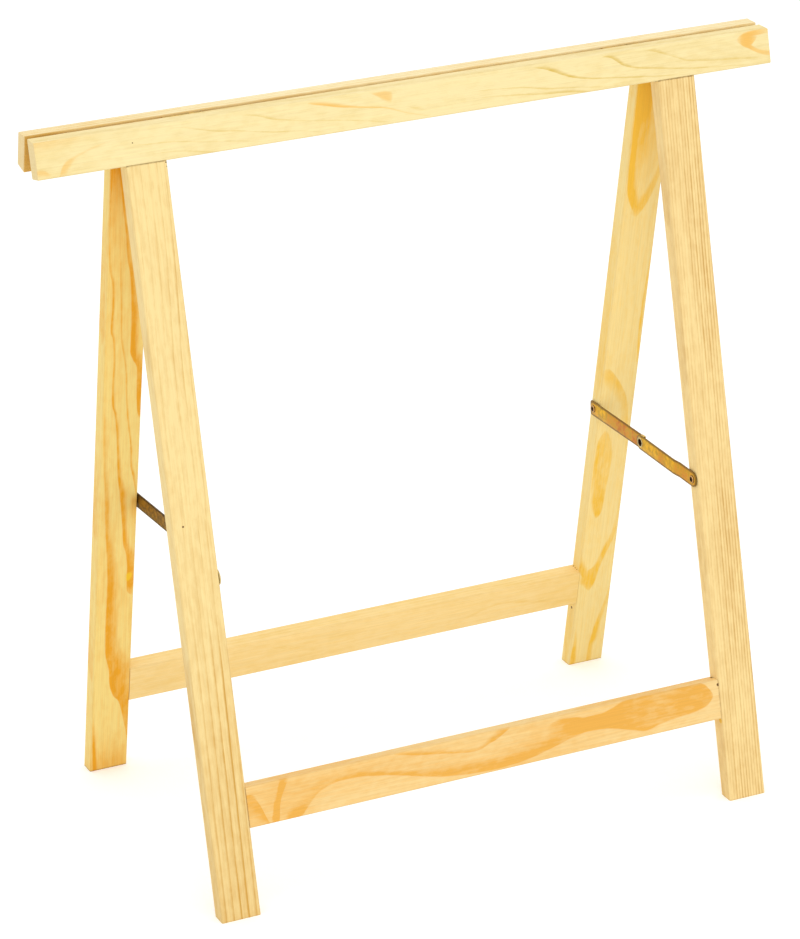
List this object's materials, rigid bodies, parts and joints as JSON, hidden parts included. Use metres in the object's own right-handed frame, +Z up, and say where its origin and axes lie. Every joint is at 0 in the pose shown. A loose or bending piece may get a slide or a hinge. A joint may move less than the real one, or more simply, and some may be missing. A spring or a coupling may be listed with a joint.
{
  "type": "folding sawhorse",
  "caption": "A-shaped folding wooden sawhorse: two hinged pine half frames with a top rail, legs and stretcher each, kept from spreading by folding steel braces.",
  "frame": {"origin": "on the ground, under the middle of the open sawhorse", "axes": "+X along the top rails to the right, -Y the front, +Z up"},
  "size_m": [0.75, 0.367, 0.731],
  "materials": {
    "pine": "planed, unfinished",
    "beech_dowel": "turned, unfinished",
    "yellow_zinc": "yellow passivated zinc plate",
    "eyelet_zinc": "yellow passivated zinc plate",
    "screw_zinc": "yellow passivated zinc plate",
    "hinge_steel": "zinc plate, slightly dull"
  },
  "bodies": {
    "back_frame": {"back_top_rail": "pine", "back_stretcher": "pine", "back_left_leg": "pine", "back_left_rail_dowels": "beech_dowel", "back_left_stretcher_dowels": "beech_dowel", "left_hinge_back_leaf": "hinge_steel", "left_hinge_back_screws": "screw_zinc", "left_brace_back_screw": "screw_zinc", "left_brace_back_washer": "screw_zinc", "back_right_leg": "pine", "back_right_rail_dowels": "beech_dowel", "back_right_stretcher_dowels": "beech_dowel", "right_hinge_back_leaf": "hinge_steel", "right_hinge_back_screws": "screw_zinc", "right_brace_back_screw": "screw_zinc", "right_brace_back_washer": "screw_zinc", "left_hinge_pin": "hinge_steel", "right_hinge_pin": "hinge_steel"},
    "front_frame": {"front_top_rail": "pine", "front_stretcher": "pine", "front_left_leg": "pine", "front_left_rail_dowels": "beech_dowel", "front_left_stretcher_dowels": "beech_dowel", "left_hinge_front_leaf": "hinge_steel", "left_hinge_front_screws": "screw_zinc", "left_brace_front_screw": "screw_zinc", "left_brace_front_washer": "screw_zinc", "front_right_leg": "pine", "front_right_rail_dowels": "beech_dowel", "front_right_stretcher_dowels": "beech_dowel", "right_hinge_front_leaf": "hinge_steel", "right_hinge_front_screws": "screw_zinc", "right_brace_front_screw": "screw_zinc", "right_brace_front_washer": "screw_zinc"},
    "left_back_link": {"left_brace_back_link": "yellow_zinc", "left_brace_eyelet_back": "eyelet_zinc"},
    "left_front_link": {"left_brace_front_link": "yellow_zinc", "left_brace_eyelet_front": "eyelet_zinc"},
    "right_back_link": {"right_brace_back_link": "yellow_zinc", "right_brace_eyelet_back": "eyelet_zinc"},
    "right_front_link": {"right_brace_front_link": "yellow_zinc", "right_brace_eyelet_front": "eyelet_zinc"}
  },
  "joints": [
    {"name": "fold", "type": "hinge", "parent": "back_frame", "child": "front_frame", "pos_m": [0, 0, 0.7275], "axis": [1, 0, 0], "range_deg": [0, 25.2]},
    {"name": "left_back_link_swing", "type": "hinge", "parent": "back_frame", "child": "left_back_link", "pos_m": [-0.2515, 0.1042, 0.3159], "axis": [1, 0, 0], "range_deg": [-67.8, 0]},
    {"name": "left_front_link_swing", "type": "hinge", "parent": "front_frame", "child": "left_front_link", "pos_m": [-0.2515, -0.1042, 0.3159], "axis": [1, 0, 0], "range_deg": [0, 67.8]},
    {"name": "right_back_link_swing", "type": "hinge", "parent": "back_frame", "child": "right_back_link", "pos_m": [0.2515, 0.1042, 0.3159], "axis": [1, 0, 0], "range_deg": [-70.4, 0]},
    {"name": "right_front_link_swing", "type": "hinge", "parent": "front_frame", "child": "right_front_link", "pos_m": [0.2515, -0.1042, 0.3159], "axis": [1, 0, 0], "range_deg": [0, 70.4]}
  ],
  "couplings": [
    {"joint": "left_back_link_swing", "follows": "fold", "ratio": -2.6846},
    {"joint": "left_front_link_swing", "follows": "fold", "ratio": 2.6846},
    {"joint": "right_back_link_swing", "follows": "fold", "ratio": -2.7874},
    {"joint": "right_front_link_swing", "follows": "fold", "ratio": 2.7874}
  ]
}
